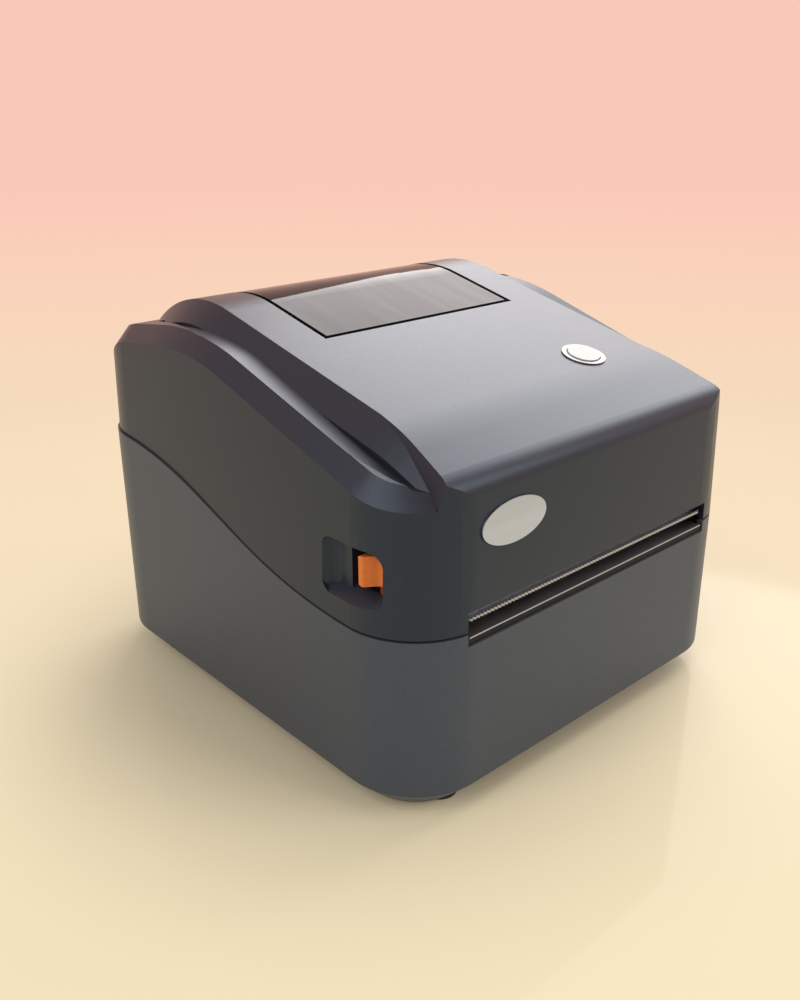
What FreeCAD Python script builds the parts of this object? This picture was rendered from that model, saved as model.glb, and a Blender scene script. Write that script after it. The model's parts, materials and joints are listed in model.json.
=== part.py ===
import FreeCAD
import Part
import Sketcher
import math
import os
import re
from FreeCAD import Placement, Rotation, Vector

# Driving sizes in millimetres and degrees. +X is the viewer's right, the front faces -Y, +Z is up.
SIZES = {
    "case_width": 178,
    "case_depth": 192,
    "corner_radius": 28,
    "wall": 2.5,
    "lid_wall": 3,
    "seam": 0.9,
    "lid_draft": 1.5,
    "foot_height": 1.5,
    "foot_radius": 6.3,
    "floor_thickness": 4,
    "skirt_bevel": 8.5,
    "split_front_z": 67,
    "split_rear_z": 96,
    "split_front_y": -38,
    "split_rear_y": 48,
    "split_blend": 190,
    "nose_z": 121,
    "crown_z": 165.4,
    "nose_front_z": 117.5,
    "nose_radius": 8.5,
    "bend_y": -70,
    "bend_radius": 100,
    "crown_radius": 58,
    "panel_half": 74,
    "panel_bevel": 7.5,
    "flare_start_y": -58,
    "flare_front_half": 71.2,
    "cheek_front_z": 115.5,
    "cheek_knee_y": -80,
    "cheek_peak_y": 22,
    "cheek_peak_z": 146,
    "cheek_rear_y": 76,
    "cheek_rear_z": 138,
    "knee_blend": 40,
    "peak_blend": 110,
    "rear_blend": 30,
    "rim_bevel": 6,
    "scoop_outer": 82.3,
    "scoop_depth": 1.4,
    "scoop_front_y": -94,
    "scoop_rear_y": 62,
    "window_half": 48,
    "window_front_y": -7.7,
    "window_rear_y": 66,
    "window_lip": 4,
    "window_thickness": 1.8,
    "window_gap": 2,
    "button_x": 35,
    "button_y": -56,
    "button_radius": 6.2,
    "button_travel": 1,
    "ring_radius": 8.3,
    "badge_x": -45,
    "badge_z": 100,
    "badge_long": 29,
    "badge_short": 14.6,
    "badge_thickness": 1.2,
    "slot_half": 64.5,
    "slot_rise": 7.6,
    "slot_drop": 4.3,
    "platen_setback": 18,
    "platen_drop": 6,
    "platen_radius": 9,
    "platen_half": 59,
    "shaft_radius": 3,
    "bush_radius": 5,
    "running_gap": 0.05,
    "head_gap": 0.3,
    "frame_half": 66.5,
    "frame_wall": 2.5,
    "tub_rear_y": 80.5,
    "tub_front_y": -32.5,
    "tub_floor_z": 21.5,
    "tub_round": 50,
    "deck_z": 64,
    "flange_z": 58,
    "guide_y": 24,
    "guide_x": 40,
    "guide_thickness": 3,
    "guide_height": 42,
    "gear_module": 0.8,
    "gear_low": 67.2,
    "gear_high": 70.7,
    "motor_y": -62,
    "motor_z": 30,
    "motor_radius": 17.5,
    "motor_length": 22,
    "latch_y": -74,
    "latch_z": 89,
    "latch_pin_radius": 2,
    "recess_front_y": -80.2,
    "recess_wall_y": -64.4,
    "recess_rear_y": -54.5,
    "recess_low_z": 75.8,
    "recess_high_z": 95.3,
    "recess_corner": 5,
    "dish_depth": 4.7,
    "pocket_floor_x": 75.7,
    "tab_low_z": 82.3,
    "tab_high_z": 92.5,
    "keeper_radius": 2,
    "hinge_y": 92,
    "hinge_z": 97,
    "hinge_radius": 4,
    "hinge_pin_radius": 1.6,
    "board_z": 10,
    "board_thickness": 1.6,
    "rack_z": 13,
    "rack_height": 5,
    "rack_module": 1,
    "part_gap": 0.3,
    "screw_radius": 1.5,
}

doc = FreeCAD.newDocument("label_printer")
sheet = doc.addObject("Spreadsheet::Sheet", "Dims")
for row, (alias, value) in enumerate(SIZES.items(), 1):
    sheet.set(f"A{row}", alias)
    sheet.set(f"B{row}", str(value))
    sheet.setAlias(f"B{row}", alias)
doc.recompute()

# Places that several pieces share, written once as text over the sheet's names.
HALF = "(case_width / 2)"
FRONT = "(-case_depth / 2)"
REAR = "(case_depth / 2)"
BEYOND = "(case_depth / 2 + 30)"
SLOPE = "((crown_z - nose_z) / case_depth)"
BEND_Z = f"(nose_z + {SLOPE} * (bend_y - {FRONT}))"
NOSE_SLOPE = f"(({BEND_Z} - nose_front_z) / (bend_y - {FRONT}))"
BEND_LEAN = f"(({SLOPE} + {NOSE_SLOPE}) / 2)"
PLATEN_Y = f"({FRONT} + platen_setback)"
PLATEN_Z = "(split_front_z - platen_drop)"
HEAD_Z = f"({PLATEN_Z} + platen_radius + head_gap)"
SLOT_TOP = "(split_front_z + slot_rise)"
SLOT_BOTTOM = "(split_front_z - slot_drop)"
FLOOR_Z = "(foot_height + floor_thickness)"
FRAME_IN = "(frame_half - frame_wall)"
BRACKET_Z = f"({HEAD_Z} + 20)"
BOARD_TOP = "(board_z + board_thickness)"

nodes = []


def bind(text):
    """Point every sheet name in the text at the sheet."""
    return re.sub(r"[a-z_]+", lambda m: "Dims." + m.group() if m.group() in SIZES else m.group(), text)


def value_of(text):
    return float(sheet.evalExpression(bind(str(text))))


def named(item, label):
    """Keep an object as one of the pieces that are handed in."""
    item.Label = label
    nodes.append(item)
    return item


def new_body(label, base=None):
    body = doc.addObject("PartDesign::Body", label)
    if base is not None:
        body.BaseFeature = base
        doc.recompute()
    return body


def sketch_on(body, plane, level):
    profile = body.newObject("Sketcher::SketchObject", body.Name + "_profile")
    for item in body.Origin.OriginFeatures:
        if item.Role == plane + "_Plane":
            profile.AttachmentSupport = [(item, "")]
    profile.MapMode = "FlatFace"
    sign = "-1 * " if plane == "XZ" else ""
    profile.setExpression(".AttachmentOffset.Base.z", bind(f"{sign}({level})"))
    return profile


class Rules:
    """Collects a sketch's rules and the sheet text that drives each, and adds them together."""

    def __init__(self, profile):
        self.profile = profile
        self.rules = []
        self.drives = {}

    def add(self, *terms, text=None):
        if text is not None:
            self.drives[len(self.rules)] = text
            terms = terms + (value_of(text),)
        self.rules.append(Sketcher.Constraint(*terms))

    def locate(self, geometry, place, x_text, y_text):
        """Hold one point of the sketch at a place read from the sheet."""
        self.add("DistanceX", -1, 1, geometry, place, text=x_text)
        self.add("DistanceY", -1, 1, geometry, place, text=y_text)

    def settle(self):
        self.profile.addConstraint(self.rules)
        for index, text in self.drives.items():
            self.profile.setExpression(f"Constraints[{index}]", bind(f"1 * ({text})"))


def outline(profile, corners):
    """Draw a closed outline. Each corner is x, y and, where it is rounded, a radius, all as text."""
    count = len(corners)
    points = [Vector(value_of(c[0]), value_of(c[1]), 0) for c in corners]
    starts = []
    ends = []
    for index, corner in enumerate(corners):
        here = points[index]
        if len(corner) < 3:
            starts.append(here)
            ends.append(here)
            continue
        back = (points[index - 1] - here).normalize()
        ahead = (points[(index + 1) % count] - here).normalize()
        reach = value_of(corner[2]) / math.tan(back.getAngle(ahead) / 2)
        starts.append(here + back * reach)
        ends.append(here + ahead * reach)
    lines = []
    for index in range(count):
        segment = Part.LineSegment(ends[index], starts[(index + 1) % count])
        lines.append(profile.addGeometry(segment))
    rules = Rules(profile)
    for index, corner in enumerate(corners):
        before = lines[index - 1]
        after = lines[index]
        if len(corner) < 3:
            rules.add("Coincident", before, 2, after, 1)
            rules.locate(after, 1, corner[0], corner[1])
            continue
        here = points[index]
        inward = ((starts[index] + ends[index]) / 2 - here).normalize()
        half_angle = (starts[index] - here).getAngle(ends[index] - here) / 2
        radius = value_of(corner[2])
        middle = here + inward * (radius / math.sin(half_angle) - radius)
        arc = profile.addGeometry(Part.Arc(starts[index], middle, ends[index]))
        turned = (starts[index] - here).cross(ends[index] - here).z
        first, last = (2, 1) if turned > 0 else (1, 2)
        rules.add("Tangent", before, 2, arc, first)
        rules.add("Tangent", after, 1, arc, last)
        rules.add("Radius", arc, text=corner[2])
        apex = profile.addGeometry(Part.Point(here), True)
        rules.add("PointOnObject", apex, 1, before)
        rules.add("PointOnObject", apex, 1, after)
        rules.locate(apex, 1, corner[0], corner[1])
    rules.settle()


def extrude(body, plane, low, high, draw, cut=False, draft=None):
    """Pad or pocket between two levels along the plane's normal axis."""
    profile = sketch_on(body, plane, high if plane == "XZ" else low)
    draw(profile)
    kind = "PartDesign::Pocket" if cut else "PartDesign::Pad"
    feature = body.newObject(kind, body.Name + ("_pocket" if cut else "_pad"))
    feature.Profile = profile
    feature.setExpression("Length", bind(f"({high}) - ({low})"))
    if cut:
        feature.Reversed = True
    if draft is not None:
        feature.setExpression("TaperAngle", bind(draft))
    return feature


def prism(body, plane, low, high, corners, cut=False, draft=None):
    return extrude(body, plane, low, high, lambda p: outline(p, corners), cut, draft)


def disc(body, plane, low, high, x_text, y_text, radius, cut=False):
    def draw(profile):
        centre = Vector(value_of(x_text), value_of(y_text), 0)
        ring = profile.addGeometry(Part.Circle(centre, Vector(0, 0, 1), value_of(radius)))
        rules = Rules(profile)
        rules.locate(ring, 3, x_text, y_text)
        rules.add("Radius", ring, text=radius)
        rules.settle()
    return extrude(body, plane, low, high, draw, cut)


def rectangle(low_x, low_y, high_x, high_y, radius=None):
    places = [(low_x, low_y), (high_x, low_y), (high_x, high_y), (low_x, high_y)]
    return [place + (radius,) for place in places] if radius else places


def block(body, low, high, cut=False, radius=None):
    """An upright box between two corners, with rounded upright edges where a radius is given."""
    return prism(body, "XY", low[2], high[2], rectangle(low[0], low[1], high[0], high[1], radius), cut)


def chamfer(body, size, picks):
    doc.recompute()
    source = body.Tip
    names = [f"Edge{i}" for i, edge in enumerate(source.Shape.Edges, 1) if picks(edge)]
    feature = body.newObject("PartDesign::Chamfer", body.Name + "_chamfer")
    feature.Base = (source, names)
    feature.setExpression("Size", bind(size))
    return feature


def boolean(kind, name, base, tools):
    if kind == "Fuse":
        item = doc.addObject("Part::MultiFuse", name)
        item.Shapes = [base] + tools
        return item
    item = doc.addObject("Part::" + kind, name)
    item.Base = base
    item.Tool = tools[0]
    return item


def rod(label, axis, low, high, first, second, radius):
    """A round bar along X or Z; first and second are its other two places."""
    bar = doc.addObject("Part::Cylinder", label)
    bar.setExpression("Radius", bind(f"1 * ({radius})"))
    bar.setExpression("Height", bind(f"({high}) - ({low})"))
    if axis == "X":
        bar.Placement = Placement(Vector(), Rotation(Vector(0, 1, 0), 90))
        places = (low, first, second)
    else:
        places = (first, second, low)
    for letter, text in zip("xyz", places):
        bar.setExpression(f"Placement.Base.{letter}", bind(f"1 * ({text})"))
    return bar


def group(label, items):
    """Several like solids under one name."""
    pack = doc.addObject("Part::Compound", label)
    pack.Links = items
    return named(pack, label)


def gear_outline(teeth, module, thinning):
    """Involute tooth flanks as a closed list of points about the origin, first tooth on the X axis."""
    pitch = module * teeth / 2
    base = pitch * math.cos(math.radians(20))
    tip = pitch + module
    root = pitch - 1.25 * module
    spread = math.tan(math.radians(20)) - math.radians(20)
    half = math.pi / (2 * teeth) - thinning / (2 * pitch) + spread
    flank = []
    for step in range(5):
        radius = max(base, root) + (tip - max(base, root)) * step / 4
        turn = math.acos(base / radius)
        flank.append((radius, half - (math.tan(turn) - turn)))
    if root < base:
        flank.insert(0, (root, half))
    points = []
    for tooth in range(teeth):
        middle = 2 * math.pi * tooth / teeth
        for radius, angle in flank:
            points.append((radius * math.cos(middle - angle), radius * math.sin(middle - angle)))
        for radius, angle in reversed(flank):
            points.append((radius * math.cos(middle + angle), radius * math.sin(middle + angle)))
    return points


def gear(label, teeth, module, bore, thickness):
    """A spur gear on the Z axis, from the involute formula."""
    loop = [Vector(x, y, 0) for x, y in gear_outline(teeth, module, 0.1)]
    shape = Part.Face(Part.makePolygon(loop + loop[:1])).extrude(Vector(0, 0, thickness))
    shape = shape.cut(Part.makeCylinder(bore, thickness))
    item = doc.addObject("Part::Feature", label)
    item.Shape = shape
    return named(item, label)


def lay_along_x(item, x, y, z, turn):
    """Stand a piece built on Z along X, turned so that angles run from +Y to +Z."""
    tilt = Rotation(Vector(1, 1, 1), 120)
    item.Placement = Placement(Vector(x, y, z), tilt.multiply(Rotation(Vector(0, 0, 1), turn)))


def panel_corners(inset):
    """The centre panel's side view, moved inward by an inset."""
    lean = "tan(lid_draft)"
    drop = f"({inset}) * (sqrt(1 + {NOSE_SLOPE} * {NOSE_SLOPE}) - {NOSE_SLOPE})"
    sink = f"({inset}) / sqrt(1 + {BEND_LEAN} * {BEND_LEAN})"
    fall = f"({inset}) * (sqrt(1 + {SLOPE} * {SLOPE}) + {SLOPE})"
    foot = "split_front_z"
    return [
        (f"{FRONT} + ({inset})", foot),
        (f"{FRONT} + ({inset}) + {lean} * (nose_front_z - split_front_z)", f"nose_front_z - {drop}",
         f"nose_radius - ({inset})"),
        (f"bend_y + {BEND_LEAN} * {sink}", f"{BEND_Z} - {sink}", f"bend_radius - ({inset})"),
        (f"{REAR} - ({inset})", f"crown_z - {fall}", f"crown_radius - ({inset})"),
        (f"{REAR} - ({inset})", foot),
    ]


def cheek_corners(inset):
    """The shoulders' side view, lowered by an inset."""
    return [
        (f"-{BEYOND}", "split_front_z"),
        (f"-{BEYOND}", f"cheek_front_z - ({inset})"),
        ("cheek_knee_y", f"cheek_front_z - ({inset})", "knee_blend"),
        ("cheek_peak_y", f"cheek_peak_z - ({inset})", "peak_blend"),
        ("cheek_rear_y", f"cheek_rear_z - ({inset})", "rear_blend"),
        (BEYOND, f"cheek_rear_z - ({inset}) - ({BEYOND} - cheek_rear_y)"),
        (BEYOND, "split_front_z"),
    ]


def over_cheek(inset):
    """The space above the shoulders' side view, let down by an inset."""
    line = cheek_corners(inset)[1:-1]
    return [(f"-{BEYOND}", "crown_z + 40")] + line + [(BEYOND, "crown_z + 40")]


def split_corners(lift, limit):
    """The S-shaped parting line, closed at a far level above or below."""
    return [
        (f"-{BEYOND}", limit),
        (f"-{BEYOND}", f"split_front_z + ({lift})"),
        ("split_front_y", f"split_front_z + ({lift})", "split_blend"),
        ("split_rear_y", f"split_rear_z + ({lift})", "split_blend"),
        (BEYOND, f"split_rear_z + ({lift})"),
        (BEYOND, limit),
    ]


def plan_corners(inset):
    return rectangle(f"-{HALF} + ({inset})", f"{FRONT} + ({inset})", f"{HALF} - ({inset})",
                     f"{REAR} - ({inset})", f"corner_radius - ({inset})")


def side(text, sign):
    return f"({text})" if sign > 0 else f"(-1 * ({text}))"


def span(low, high, sign):
    """A range of X for the right side, or its mirror for the left."""
    return (low, high) if sign > 0 else (f"-1 * ({high})", f"-1 * ({low})")


# Lower case
base = new_body("base_shell")
block(base, (f"-{HALF}", FRONT, "foot_height"), (HALF, REAR, "split_rear_z + 10"), radius="corner_radius")
lowest = value_of("foot_height")
chamfer(base, "skirt_bevel", lambda e: e.BoundBox.ZMax < lowest + 0.01)
prism(base, "YZ", f"-{HALF} - 5", f"{HALF} + 5", split_corners("0", "split_rear_z + 60"), cut=True)
prism(base, "XY", FLOOR_Z, f"{FLOOR_Z} + 4", plan_corners("wall + 5.5"), cut=True)
prism(base, "XY", f"{FLOOR_Z} + 4", "split_rear_z + 60", plan_corners("wall"), cut=True)
# bottom opening, with a rebate that the bottom cover lies in
block(base, ("-62", "-66", "0"), ("62", "66", f"{FLOOR_Z} + 1"), cut=True, radius="8")
block(base, ("-68", "-72.5", "0"), ("68", "72.5", "foot_height + 2"), cut=True, radius="10")
# paper slot, rear wall cleared for the hinge barrel, rear openings
block(base, ("-slot_half", f"{FRONT} - 5", SLOT_BOTTOM), ("slot_half", f"{FRONT} + wall + 1", "split_rear_z"),
      cut=True)
block(base, ("-76.3", "hinge_y - 7", "hinge_z - hinge_radius - 1.5"), ("76.3", f"{REAR} + 5", "split_rear_z + 60"),
      cut=True)
prism(base, "XZ", f"{REAR} - wall - 1", f"{REAR} + 5", rectangle("-60", "68", "60", "74.5", "2.5"), cut=True)
prism(base, "XZ", f"{REAR} - wall - 1", f"{REAR} + 5",
      rectangle("-46.2", f"{BOARD_TOP} - 0.2", "-33.8", f"{BOARD_TOP} + 11.2", "0.6"), cut=True)
prism(base, "XZ", f"{REAR} - wall - 1", f"{REAR} + 5",
      rectangle("14.8", f"{BOARD_TOP} - 0.2", "25.2", f"{BOARD_TOP} + 11.2", "0.6"), cut=True)
prism(base, "XZ", f"{REAR} - wall - 1", f"{REAR} + 5", rectangle("40", "38", "60", "52", "1"), cut=True)
for sign in (1, -1):
    # hinge lugs on the rear wall
    for low, high in (("30", "40"), ("56", "66")):
        low, high = span(low, high, sign)
        prism(base, "YZ", low, high, rectangle("hinge_y - 4", "84", REAR, "hinge_z"))
        disc(base, "YZ", low, high, "hinge_y", "hinge_z", "hinge_radius")
        disc(base, "YZ", low, high, "hinge_y", "hinge_z", "hinge_pin_radius", cut=True)
    # posts that carry the frame
    for place in ("10", "62"):
        disc(base, "XY", "foot_height + 2", "flange_z", side("77", sign), place, "4.5")
        low, high = span("77", f"{HALF} - 1", sign)
        block(base, (low, f"{place} - 1.5", "foot_height + 8"), (high, f"{place} + 1.5", "flange_z"))
        disc(base, "XY", "flange_z - 12", "flange_z", side("77", sign), place, "screw_radius", cut=True)
    # boss that holds the latch keeper
    low, high = span("82", f"{HALF} - 1", sign)
    prism(base, "YZ", low, high, rectangle("-72", "55", "-62", "65", "2"))
    disc(base, "YZ", low, high, "latch_y + 6", f"{PLATEN_Z} - 1", "keeper_radius", cut=True)
named(base, "base_shell")

cover = new_body("bottom_cover")
block(cover, ("-67.8", "-72.3", "foot_height"), ("67.8", "72.3", "foot_height + 2"), radius="9.8")
COVER_SCREWS = [(x, y) for x in ("-52", "0", "52") for y in ("-69.2", "69.2")]
BOARD_SCREWS = [(x, y) for x in ("-50", "50") for y in ("46", "62")]
for x, y in COVER_SCREWS:
    disc(cover, "XY", "foot_height", "foot_height + 1.2", x, y, "2.5", cut=True)
    disc(cover, "XY", "foot_height", "foot_height + 2", x, y, "1.3", cut=True)
for x, y in BOARD_SCREWS:
    disc(cover, "XY", "foot_height + 1", "board_z", x, y, "3.5")
    disc(cover, "XY", "foot_height + 3", "board_z", x, y, "1.4", cut=True)
# boss for the guide pinion and rails that the guide racks run on
disc(cover, "XY", "foot_height + 1", "rack_z - part_gap", "0", "guide_y", "5")
disc(cover, "XY", "foot_height + 3", "rack_z - part_gap", "0", "guide_y", "2.5", cut=True)
for place in ("guide_y - 12", "guide_y + 12"):
    block(cover, ("-60", f"{place} - 1", "foot_height + 1"), ("60", f"{place} + 1", "rack_z - part_gap"))
for index in range(9):
    low = -40 + 10 * index
    block(cover, (f"{low} - 1.5", "-50", "0"), (f"{low} + 1.5", "-20", "10"), cut=True, radius="1.4")
named(cover, "bottom_cover")
screws = []
for x, y in COVER_SCREWS:
    screw = new_body("cover_screw")
    disc(screw, "XY", "foot_height + 0.2", "foot_height + 1.2", x, y, "2.4")
    disc(screw, "XY", "foot_height + 1.2", f"{FLOOR_Z} - 0.4", x, y, "1.2")
    disc(base, "XY", "foot_height + 2", f"{FLOOR_Z} - 0.4", x, y, "1.2", cut=True)
    screws.append(screw)
group("cover_screws", screws)

feet = []
for sign_x in (1, -1):
    for sign_y in (1, -1):
        feet.append(rod("foot", "Z", "0", "foot_height", side("62", sign_x), side("81", sign_y), "foot_radius"))
group("rubber_feet", feet)

# Inner frame: roll trough, paper deck, platen channel and gear side plate in one moulding
PLATE_LOW = "12"
frame = new_body("inner_frame")
prism(frame, "YZ", "-frame_half", "frame_half", [
    ("tub_rear_y", "tub_floor_z + 44"),
    ("tub_rear_y", "tub_floor_z", "tub_round"),
    ("tub_front_y", "tub_floor_z", "tub_round"),
    ("tub_front_y", "deck_z - frame_wall"),
    (f"{PLATEN_Y} + 14", "deck_z - frame_wall"),
    (f"{PLATEN_Y} + 14", f"{PLATEN_Z} - 13"),
    (f"{PLATEN_Y} - 13", f"{PLATEN_Z} - 13"),
    (f"{PLATEN_Y} - 13", f"{PLATEN_Z} + 8"),
    ("-56", f"{PLATEN_Z} + 8"),
    ("-20", "tub_floor_z + 68"),
    ("60", "tub_floor_z + 68"),
])
prism(frame, "YZ", f"-{FRAME_IN}", FRAME_IN, [
    ("tub_rear_y - frame_wall", "160"),
    ("tub_rear_y - frame_wall", "tub_floor_z + frame_wall", "tub_round - frame_wall"),
    ("tub_front_y + frame_wall", "tub_floor_z + frame_wall", "tub_round - frame_wall"),
    ("tub_front_y + frame_wall", "deck_z"),
    (f"{PLATEN_Y} + 11.5", "deck_z"),
    (f"{PLATEN_Y} + 11.5", f"{PLATEN_Z} - 10.5"),
    (f"{PLATEN_Y} - 10.5", f"{PLATEN_Z} - 10.5"),
    (f"{PLATEN_Y} - 10.5", f"{PLATEN_Z} + 0.5"),
    (f"{FRONT} - 10", f"{PLATEN_Z} + 0.5"),
    (f"{FRONT} - 10", "160"),
], cut=True)
# side plate that carries the motor and the idler
prism(frame, "YZ", FRAME_IN, "frame_half", [
    (f"{PLATEN_Y} - 13", f"{PLATEN_Z} - 12"),
    (f"{PLATEN_Y} - 8", PLATE_LOW, "6"),
    ("tub_front_y - 4", PLATE_LOW, "6"),
    ("tub_front_y - 4", "deck_z - frame_wall + 1"),
    (f"{PLATEN_Y} + 12", "deck_z - frame_wall + 1"),
    (f"{PLATEN_Y} + 12", f"{PLATEN_Z} - 12"),
])
block(frame, (FRAME_IN, "tub_front_y - 5", "34"), ("frame_half", "tub_front_y + 6", "60"))
for sign in (1, -1):
    low, high = span(FRAME_IN, "frame_half", sign)
    disc(frame, "YZ", low, high, PLATEN_Y, PLATEN_Z, "bush_radius", cut=True)
    low, high = span("frame_half - 1", "82", sign)
    block(frame, (low, "2", "flange_z"), (high, "70", "flange_z + 2.5"))
    for place in ("10", "62"):
        disc(frame, "XY", "flange_z", "flange_z + 2.5", side("77", sign), place, "screw_radius + 0.1", cut=True)
# floor slot for the guide stems
block(frame, ("-60", "guide_y - 4", "tub_floor_z - 5"), ("60", "guide_y + 4", "tub_floor_z + 20"), cut=True)

# Gear train: motor pinion, idler and platen gear; the idler stands where both centre distances meet
PINION_TEETH = 12
IDLER_TEETH = 26
PLATEN_TEETH = 28
GEAR_PLAY = 0.12
module = value_of("gear_module")
platen_spot = Vector(value_of(PLATEN_Y), value_of(PLATEN_Z), 0)
motor_spot = Vector(value_of("motor_y"), value_of("motor_z"), 0)
first_reach = module * (PINION_TEETH + IDLER_TEETH) / 2 + GEAR_PLAY
second_reach = module * (IDLER_TEETH + PLATEN_TEETH) / 2 + GEAR_PLAY
between = platen_spot - motor_spot
along = (first_reach ** 2 - second_reach ** 2 + between.Length ** 2) / (2 * between.Length)
aside = math.sqrt(max(first_reach ** 2 - along ** 2, 0.01))
heading = Vector(between).normalize()
idler_spot = motor_spot + heading * along + Vector(heading.y, -heading.x, 0) * aside
IDLER_Y = f"({idler_spot.x:.5f})"
IDLER_Z = f"({idler_spot.y:.5f})"
disc(frame, "YZ", FRAME_IN, "frame_half", IDLER_Y, IDLER_Z, "shaft_radius - 0.5", cut=True)
disc(frame, "YZ", FRAME_IN, "frame_half", "motor_y", "motor_z", "5", cut=True)
named(frame, "inner_frame")


def mesh_turn(low_spot, low_teeth, low_turn, high_spot, high_teeth):
    """Turn for the second gear so that its gap meets the first gear's tooth."""
    lead = math.degrees(math.atan2(high_spot.y - low_spot.y, high_spot.x - low_spot.x))
    phase = (lead - low_turn) * low_teeth / 360
    return lead + 180 - (0.5 - phase) * 360 / high_teeth


gear_width = value_of("gear_high - gear_low")
idler_turn = mesh_turn(platen_spot, PLATEN_TEETH, 0, idler_spot, IDLER_TEETH)
pinion_turn = mesh_turn(idler_spot, IDLER_TEETH, idler_turn, motor_spot, PINION_TEETH)
platen_gear = gear("platen_gear", PLATEN_TEETH, module, value_of("shaft_radius"), gear_width)
lay_along_x(platen_gear, value_of("gear_low"), platen_spot.x, platen_spot.y, 0)
idler_gear = gear("idler_gear", IDLER_TEETH, module, value_of("shaft_radius - 0.5 + running_gap"), gear_width)
lay_along_x(idler_gear, value_of("gear_low"), idler_spot.x, idler_spot.y, idler_turn)
motor_pinion = gear("motor_pinion", PINION_TEETH, module, 1.5, gear_width)
lay_along_x(motor_pinion, value_of("gear_low"), motor_spot.x, motor_spot.y, pinion_turn)

idler_pin = new_body("idler_pin")
disc(idler_pin, "YZ", FRAME_IN, "gear_high + 0.4", IDLER_Y, IDLER_Z, "shaft_radius - 0.5")
disc(idler_pin, "YZ", "frame_half", "gear_low - part_gap", IDLER_Y, IDLER_Z, "shaft_radius + 0.6")
disc(idler_pin, "YZ", "gear_high + 0.4", "gear_high + 1", IDLER_Y, IDLER_Z, "shaft_radius + 0.4")
named(idler_pin, "idler_pin")

motor = new_body("motor_body")
disc(motor, "YZ", f"{FRAME_IN} - motor_length", FRAME_IN, "motor_y", "motor_z", "motor_radius")
disc(motor, "YZ", FRAME_IN, "frame_half - 0.3", "motor_y", "motor_z", "4.9")
disc(motor, "YZ", f"{FRAME_IN} - 12", "frame_half", "motor_y", "motor_z", "1.5 + running_gap", cut=True)
named(motor, "motor_body")
named(rod("motor_shaft", "X", f"{FRAME_IN} - 11", "gear_high", "motor_y", "motor_z", "1.5"), "motor_shaft")

# Platen
PLATEN_END = "frame_half"
named(rod("platen_shaft", "X", f"-{PLATEN_END} - 0.5", "gear_high", PLATEN_Y, PLATEN_Z, "shaft_radius"),
      "platen_shaft")
platen = new_body("platen_rubber")
disc(platen, "YZ", "-platen_half", "platen_half", PLATEN_Y, PLATEN_Z, "platen_radius")
disc(platen, "YZ", "-platen_half", "platen_half", PLATEN_Y, PLATEN_Z, "shaft_radius", cut=True)
named(platen, "platen_rubber")
bushes = []
for sign in (1, -1):
    bush = new_body("bush")
    low, high = span(FRAME_IN, "frame_half", sign)
    disc(bush, "YZ", low, high, PLATEN_Y, PLATEN_Z, "bush_radius")
    low, high = span(f"{FRAME_IN} - 1.5", FRAME_IN, sign)
    disc(bush, "YZ", low, high, PLATEN_Y, PLATEN_Z, "bush_radius + 1.5")
    low, high = span(f"{FRAME_IN} - 2", "frame_half + 1", sign)
    disc(bush, "YZ", low, high, PLATEN_Y, PLATEN_Z, "shaft_radius + running_gap", cut=True)
    bushes.append(bush)
group("platen_bushes", bushes)

# Frame screws
frame_screws = []
for sign in (1, -1):
    for place in ("10", "62"):
        screw = new_body("frame_screw")
        disc(screw, "XY", "flange_z - 11", "flange_z + 2.5", side("77", sign), place, "screw_radius")
        disc(screw, "XY", "flange_z + 2.5", "flange_z + 4.3", side("77", sign), place, "2.8")
        frame_screws.append(screw)
group("frame_screws", frame_screws)

# Paper lip, its bright edge and the label sensor
lip = new_body("exit_lip")
block(lip, ("-slot_half + 0.2", f"{FRONT} + 0.8", SLOT_BOTTOM),
      ("slot_half - 0.2", f"{FRONT} + 4.7", f"{SLOT_BOTTOM} + 2.5"))
named(lip, "exit_lip")
blade = new_body("lip_blade")
block(blade, ("-slot_half + 1", f"{FRONT} + 0.6", f"{SLOT_BOTTOM} + 2.5"),
      ("slot_half - 1", f"{FRONT} + 7.5", f"{SLOT_BOTTOM} + 3"))
named(blade, "lip_blade")
sensor = new_body("gap_sensor")
block(sensor, ("14", "-50", "deck_z"), ("26", "-42", "deck_z + 1.5"), radius="1")
block(sensor, ("16", "-47", "deck_z + 0.8"), ("24", "-45", "deck_z + 2"), cut=True)
named(sensor, "gap_sensor")

# Main board, sockets and power switch
board = new_body("main_board")
block(board, ("-62", "41", "board_z"), ("62", "90.5", BOARD_TOP), radius="2")
for x, y in BOARD_SCREWS:
    disc(board, "XY", "board_z", BOARD_TOP, x, y, "1.5", cut=True)
for x, y, width, depth, height in (("-20", "60", "14", "14", "1.6"), ("8", "56", "10", "10", "1.4"),
                                   ("30", "62", "8", "12", "6")):
    block(board, (f"{x} - {width} / 2", f"{y} - {depth} / 2", BOARD_TOP),
          (f"{x} + {width} / 2", f"{y} + {depth} / 2", f"{BOARD_TOP} + {height}"))
for x in ("40", "-2"):
    disc(board, "XY", BOARD_TOP, f"{BOARD_TOP} + 11", x, "80", "4")
named(board, "main_board")
board_screws = []
for x, y in BOARD_SCREWS:
    screw = new_body("board_screw")
    disc(screw, "XY", "foot_height + 3.5", BOARD_TOP, x, y, "1.4")
    disc(screw, "XY", BOARD_TOP, f"{BOARD_TOP} + 1.6", x, y, "2.8")
    board_screws.append(screw)
group("board_screws", board_screws)
usb = new_body("usb_port")
block(usb, ("-46", f"{REAR} - 16.3", BOARD_TOP), ("-34", f"{REAR} - 0.3", f"{BOARD_TOP} + 11"))
block(usb, ("-44.2", f"{REAR} - 9.3", f"{BOARD_TOP} + 1.6"), ("-35.8", f"{REAR} + 1", f"{BOARD_TOP} + 9.4"), cut=True)
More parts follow.
